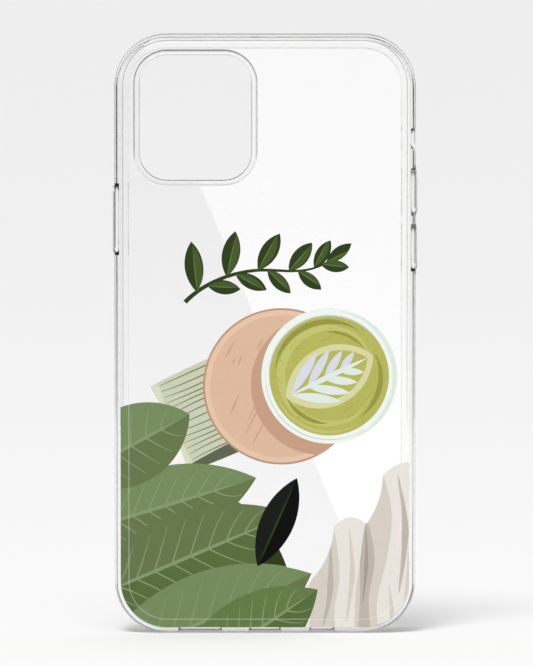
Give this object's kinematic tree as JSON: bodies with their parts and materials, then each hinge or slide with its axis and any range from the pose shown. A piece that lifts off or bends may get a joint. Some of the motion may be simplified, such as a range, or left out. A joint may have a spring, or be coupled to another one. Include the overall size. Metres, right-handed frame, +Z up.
{
  "type": "phone case",
  "caption": "Clear two-material bumper case for a large slab phone, with a raised guard round the camera opening, pressing button covers and a printed back.",
  "frame": {"origin": "middle of the case's footprint, on the surface that its bottom edge stands on", "axes": "+Z up the length of the case; the printed back faces -Y and the phone goes in from +Y; +X is to the right of someone who faces the back, the side with the volume buttons"},
  "size_m": [0.0816, 0.0118, 0.1608],
  "materials": {
    "clear_soft": "clear soft polyurethane, moulded smooth",
    "clear_hard": "clear hard polycarbonate, polished",
    "ink_white": "cured ink film, satin",
    "ink_leaf_green": "cured ink film, satin",
    "ink_sage": "cured ink film, satin",
    "ink_peach": "cured ink film, satin",
    "ink_cup": "cured ink film, satin",
    "ink_tea": "cured ink film, satin",
    "ink_cream": "cured ink film, satin",
    "ink_black": "cured ink film, satin",
    "ink_dark_green": "cured ink film, satin"
  },
  "bodies": {
    "case": {"bumper_frame": "clear_soft", "back_plate": "clear_hard", "camera_guard": "clear_soft", "power_web": "clear_soft", "volume_up_web": "clear_soft", "volume_down_web": "clear_soft", "print_white": "ink_white", "print_leaf": "ink_leaf_green", "print_foliage": "ink_leaf_green", "print_napkin": "ink_sage", "print_board": "ink_peach", "print_cup": "ink_cup", "print_drink": "ink_tea", "print_foam": "ink_cup", "print_cloth": "ink_cream", "print_dark": "ink_black", "print_sprig": "ink_dark_green"},
    "power_button": {"power_button": "clear_soft"},
    "volume_up_button": {"volume_up_button": "clear_soft"},
    "volume_down_button": {"volume_down_button": "clear_soft"}
  },
  "joints": [
    {"name": "power_press", "type": "slide", "parent": "case", "child": "power_button", "axis": [1, 0, 0], "range_m": [0, 0.0004], "stiffness_N_per_m": 3000, "deforming": ["power_web"]},
    {"name": "volume_up_press", "type": "slide", "parent": "case", "child": "volume_up_button", "axis": [-1, 0, 0], "range_m": [0, 0.0004], "stiffness_N_per_m": 3000, "deforming": ["volume_up_web"]},
    {"name": "volume_down_press", "type": "slide", "parent": "case", "child": "volume_down_button", "axis": [-1, 0, 0], "range_m": [0, 0.0004], "stiffness_N_per_m": 3000, "deforming": ["volume_down_web"]}
  ]
}
